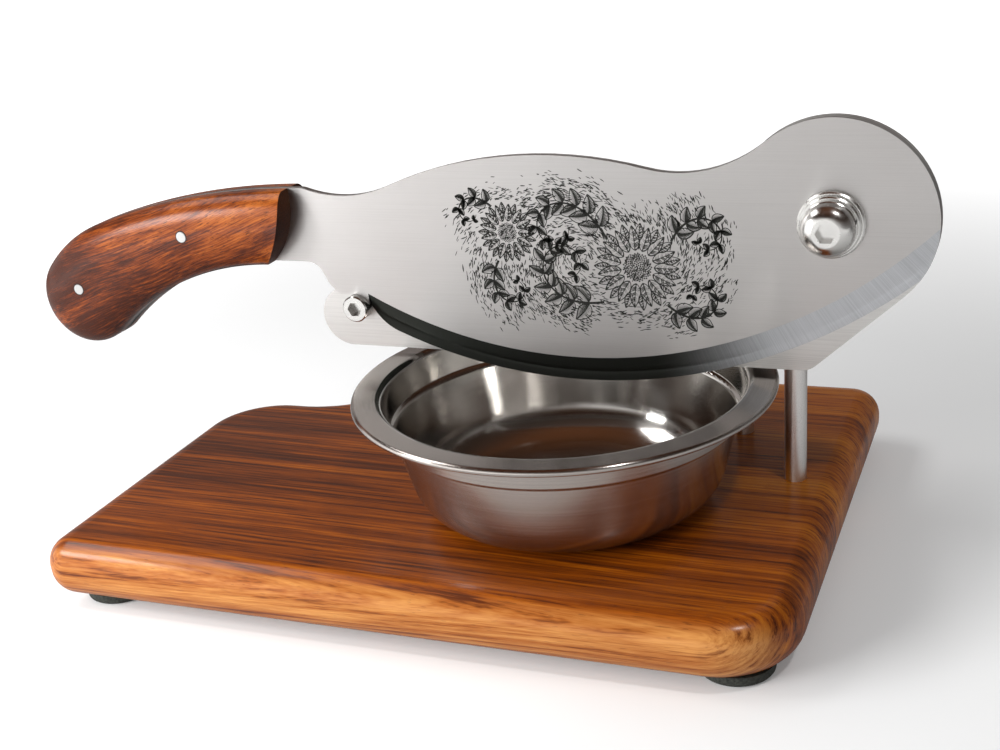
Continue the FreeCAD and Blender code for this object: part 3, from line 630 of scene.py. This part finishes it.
# %% [markdown]
# ## A design etched on the blade
# Such blades often carry an etched picture.  Here it is two flower heads, leafy scrolls and a
# field of short dashes, all of thin dark strokes.  An image would blur close up, so each
# stroke is a ribbon that tapers, a hair in front of the blade's face.  Places are in
# millimetres from the pivot, x to the right and z up.

# %% Strokes
ETCH_LIFT = 0.02
strokes = []


def stroke(points, width):
    """Keeps curves, given as (curve, point, x and z), with a width at each point."""
    strokes.append((points, np.broadcast_to(width, points.shape[:2])))
    return points


def sides_of(points, width):
    """Both sides of each curve: half a width to the left and to the right of its run."""
    run = np.gradient(points, axis=1)
    run /= np.linalg.norm(run, axis=2, keepdims=True) + 1e-9
    aside = np.stack([-run[..., 1], run[..., 0]], axis=2) * width[..., None] / 2
    return np.stack([points + aside, points - aside], axis=2)


def leaves(base, angle, length, plump=0.30, bend=18.0, hatch=15, line=0.32):
    """Leaves with a bent mid-vein, two edges, and hatching that shades one half.

    The half-width at a share t of the length is plump * length * sin(pi * t ** 0.75) ** 0.9.
    """
    share = np.linspace(0, 1, 17)
    heading = angle[:, None] + bend * (share - 0.5)
    step = toward(heading) * (length[:, None, None] / len(share))
    vein = base[:, None] + np.cumsum(step, axis=1)
    swell = np.abs(np.sin(np.pi * share ** 0.75)) ** 0.9
    half = toward(heading + 90) * (plump * length[:, None] * swell)[..., None]
    stroke(vein, line * (1.3 - 0.8 * share))
    upper, lower = stroke(vein + half, line), stroke(vein - half, line * 1.4)
    root = (np.linspace(0.06, 0.90, hatch) * (len(share) - 1)).astype(int)
    end = np.minimum(root + 2, len(share) - 1)
    taper = np.array([1.0, 0.9, 0.6, 0.25])
    for edge, reach, weight in ((upper, 0.75, 0.6), (lower, 0.97, 1.35)):
        span = reach * np.linspace(0, 1, 4)[:, None]
        ticks = vein[:, root, None] + (edge[:, end, None] - vein[:, root, None]) * span
        stroke(ticks.reshape(-1, 4, 2), line * weight * taper)
    return vein.reshape(-1, 2)


def scroll(start, angle, length, curl, pairs, size, width=0.9):
    """A stem whose curl tightens as it goes, with pairs of leaves that shrink to its tip."""
    way = np.linspace(0, 1, 90)
    heading = angle + curl[0] * way + curl[1] * way ** 2
    points = np.array(start) + np.cumsum(toward(heading) * length / len(way), axis=0)
    stroke(points[None], width * (1 - 0.75 * way)[None])
    place = np.linspace(0.10, 0.92, pairs)
    at = (place * (len(way) - 1)).astype(int)
    return np.concatenate([leaves(points[at], heading[at] + 48 * side,
                                  size * (1.05 - 0.75 * place), bend=-30 * side)
                           for side in (1, -1)])


GOLDEN_ANGLE, SEEDS = 137.508, 150


def flower(centre, radius, petals):
    """Two rings of petals round a disc of seeds set out by the golden angle."""
    centre = np.array(centre)
    angle = np.arange(petals) * 360 / petals
    between = angle + 180 / petals
    inner = leaves(centre + toward(angle) * radius * 0.36, angle,
                   np.full(petals, radius * 0.62), 0.20, 10, 11, 0.30)
    outer = leaves(centre + toward(between) * radius * 0.62, between,
                   np.full(petals, radius * 0.42), 0.22, -8, 9, 0.30)
    seed = np.arange(SEEDS)
    turn = seed * GOLDEN_ANGLE
    place = centre + toward(turn) * (radius * 0.34 * np.sqrt(seed / SEEDS))[:, None]
    dash = toward(turn + 40)[:, None] * np.linspace(-0.5, 0.5, 3)[:, None] * radius * 0.035
    stroke(place[:, None] + dash, radius * 0.036)
    return np.concatenate([inner, outer])


# %% Draw flowers and scrolls
drawn = np.concatenate([
    flower((-66, -17), 15, 15),
    flower((-113, -6), 10.5, 13),
    scroll((-78, -30), 190, 62, (-60, -330), 11, 8.5),
    scroll((-76, -8), 120, 56, (30, 320), 10, 8.0),
    scroll((-54, -8), 62, 40, (-60, -300), 8, 6.5),
    scroll((-56, -30), -40, 40, (60, 300), 8, 6.5),
    scroll((-117, -16), 240, 34, (60, 260), 7, 6.0),
    scroll((-118, 3), 140, 26, (60, 240), 6, 5.0),
])
print("strokes drawn:", sum(len(points) for points, _ in strokes))

# %% [markdown]
# ## Ground of dashes
# Short dashes lean round the middle of the design, as a soft ground.  They keep clear of the
# leaves and petals, and thin out away from them, so that the drawing stands out.

# %% Fill the ground with dashes
MIDDLE, SPREAD = np.array([-84.0, -14.5]), (52, 30)
CLEAR, THIN_OUT = 1.4, 3.6
chance = np.random.default_rng(7)
spot = chance.uniform((-137, -46), (-31, 17), (9000, 2))
away = (spot - MIDDLE) / SPREAD
far = np.linalg.norm(away, axis=1)
near = np.linalg.norm(drawn - spot[:, None], axis=2).min(axis=1)
kept = (far + chance.uniform(-0.15, 0.10, len(spot)) < 1.0) & (near > CLEAR)
kept &= chance.random(len(spot)) < np.exp(-((near - CLEAR) / THIN_OUT) ** 2)
spot, away = spot[kept], away[kept]
lean = np.degrees(np.arctan2(away[:, 1], away[:, 0])) + 70 + chance.normal(0, 16, len(spot))
size = chance.uniform(0.8, 2.4, (len(spot), 1, 1))
dashes = spot[:, None] + toward(lean)[:, None] * np.linspace(-0.5, 0.5, 4)[:, None] * size
stroke(dashes, chance.uniform(0.16, 0.34, (len(spot), 1)) * np.array([0.6, 1.2, 1.2, 0.4]))
print("dashes:", len(spot))

# %% Make the etching
def etched_ink():
    """Etched steel: nearly black and matt, with a fine grain."""
    ink = Finish("etched_ink", Specular_IOR_Level=0.1)
    grit = noise(stretched(ink.point, (0.0004, 0.0004, 0.0004)), 2.0)
    ink.set(Base_Color=ramp(grit, [(0.3, (0.022, 0.022, 0.020)), (0.7, (0.050, 0.050, 0.046))]),
            Roughness=0.7 + grit * 0.2)
    return ink.material


points, faces, first = [], [], 0
for curve, width in strokes:
    sides = sides_of(curve, width).reshape(-1, 2)
    strips = np.arange(len(curve))[:, None, None] * curve.shape[1] * 2 + first
    faces.append((strips + grid_faces(curve.shape[1], 2)).reshape(-1, 4))
    points.append(np.stack([PIVOT[0] + sides[:, 0] * MM,
                            np.full(len(sides), (BLADE_FRONT - ETCH_LIFT) * MM),
                            PIVOT[2] + sides[:, 1] * MM], axis=1))
    first += len(sides)
etching = mesh_of("etching", np.concatenate(points), np.concatenate(faces), closed=False)
riding("etching", etching, etched_ink(), "blade_lever")
print("etching faces:", len(etching.polygons))

# %% [markdown]
# ## Sky
# Steel shows the room around it, so the sky is drawn for its reflections: pale near the
# horizon and dark warm above, with a bright wall in front on the left, a grey one behind on
# the left, and a dark one on the right.  The camera itself sees white, and the light that the
# sky sheds on the object is a soft grey.

# %% Sky
WHITE = (1.0, 1.0, 1.0)


def leaning(way, side, start, end):
    """0 for a direction that leans to a side by the start share, 1 by the end share."""
    return fade(reach_along(way, side), start, end)


def studio_sky():
    world = bpy.data.worlds.new("studio")
    world.use_nodes = True
    tree = world.node_tree
    path = tree.nodes.new("ShaderNodeLightPath").outputs
    camera_ray, mirrored = Socket(path["Is Camera Ray"]), Socket(path["Is Glossy Ray"])
    way = Socket(tree.nodes.new("ShaderNodeTexCoord").outputs["Generated"])
    up = axis_of(way, "Z")
    room = ramp(up, [(0.0, (0.80, 0.80, 0.80)), (0.14, (0.55, 0.54, 0.53)),
                     (0.30, (0.38, 0.36, 0.35)), (0.44, (0.070, 0.040, 0.025)),
                     (0.54, (0.018, 0.007, 0.003)), (1.0, (0.110, 0.042, 0.018))])
    behind_left = leaning(way, (-0.9, 0.4, 0), 0.58, 0.82) * fade(up, 0.50, 0.36)
    room = mix(behind_left, room, (0.40, 0.37, 0.36))
    room = mix(leaning(way, (0.8, 0.2, 0), 0.0, 0.6) * 0.75, room, (0.035, 0.025, 0.020))
    front_left = leaning(way, (-0.8, -0.6, 0), 0.30, 0.72) * fade(up, 0.45, 0.15)
    room = mix(front_left, room, (1.6, 1.6, 1.6))
    lit = mix(mirrored, (0.28, 0.28, 0.28), room)
    tree.links.new(mix(camera_ray, lit, WHITE).output, tree.nodes["Background"].inputs["Color"])
    bpy.context.scene.world = world


studio_sky()

# %% [markdown]
# ## Floor
# The floor is pale paper that glows white towards the edge of the picture, so that it runs
# into the sky without a line, and keeps the object's shadow near it.  In reflections it is
# bright in front of the object and darker near and behind it.

# %% Floor
FLOOR_REACH = 6.0


def floor_paper():
    paper = Finish("floor", Roughness=0.7, Specular_IOR_Level=0.0, Emission_Strength=1.0)
    path = paper.material.node_tree.nodes.new("ShaderNodeLightPath").outputs
    seen, mirrored = Socket(path["Is Camera Ray"]), Socket(path["Is Glossy Ray"])
    right, behind = axis_of(paper.point, "X"), axis_of(paper.point, "Y")
    far = length_of(paper.point)
    glow = seen * (0.12 + fade(far, 0.25, 0.9) * 0.9)
    in_front = mirrored * fade(far, 0.3, 1.1) * fade(behind, 0.0, -0.4)
    glow = glow + in_front * (0.75 + 1.5 * fade(right, 0.25, -0.6))
    shade = mirrored * mirrored.math("MAXIMUM", fade(behind, 0.0, 0.3),
                                     fade(far, 0.38, 0.20) * 0.4)
    paper.set(Emission_Color=glow.node("CombineXYZ", {}, {0: glow, 1: glow, 2: glow}),
              Base_Color=mix(shade, (0.84, 0.84, 0.84), (0.25, 0.24, 0.23)))
    return paper.material


floor_mesh = bpy.data.meshes.new("floor")
corners = [(-1, -1, 0), (1, -1, 0), (1, 1, 0), (-1, 1, 0)]
floor_mesh.from_pydata((np.array(corners) * FLOOR_REACH).tolist(), [], [(0, 1, 2, 3)])
floor_mesh.materials.append(floor_paper())
floor = bpy.data.objects.new("floor", floor_mesh)
bpy.context.scene.collection.objects.link(floor)

# %% [markdown]
# ## Lamps
# A large lamp low in front on the left lights the wood and the blade, one above fills, and a
# small high one on the right gives the bowl its two sparks.  The gleam stands close to the
# grip and is seen only as the soft line along its crown.

# %% Lamps
def softbox(name, place, aim, size, power):
    """A rectangular lamp that looks from its place at a point."""
    lamp = bpy.data.lights.new(name, "AREA")
    lamp.shape, lamp.size, lamp.size_y = "RECTANGLE", *size
    lamp.energy = power
    stand = bpy.data.objects.new(name, lamp)
    stand.location, stand.visible_camera = place, False
    stand.rotation_euler = (Vector(aim) - Vector(place)).to_track_quat("-Z", "Y").to_euler()
    bpy.context.scene.collection.objects.link(stand)
    return stand


key = softbox("key", (-0.66, -0.76, 0.36), (0, 0, 0.05), (0.6, 0.4), 12)
key.visible_glossy = False
softbox("ceiling", (-0.75, -0.05, 0.95), (-0.05, -0.05, 0.05), (0.7, 0.35), 4)
softbox("gleam", (-0.33, -0.245, 0.235), (-0.12, 0, 0.16), (0.12, 0.08), 0.65)
softbox("spot", (0.56, -0.37, 1.1), (0.05, -0.05, 0.03), (0.09, 0.09), 2.5)
bpy.context.scene.view_settings.view_transform = "Standard"
print("lamps:", len(bpy.data.lights))
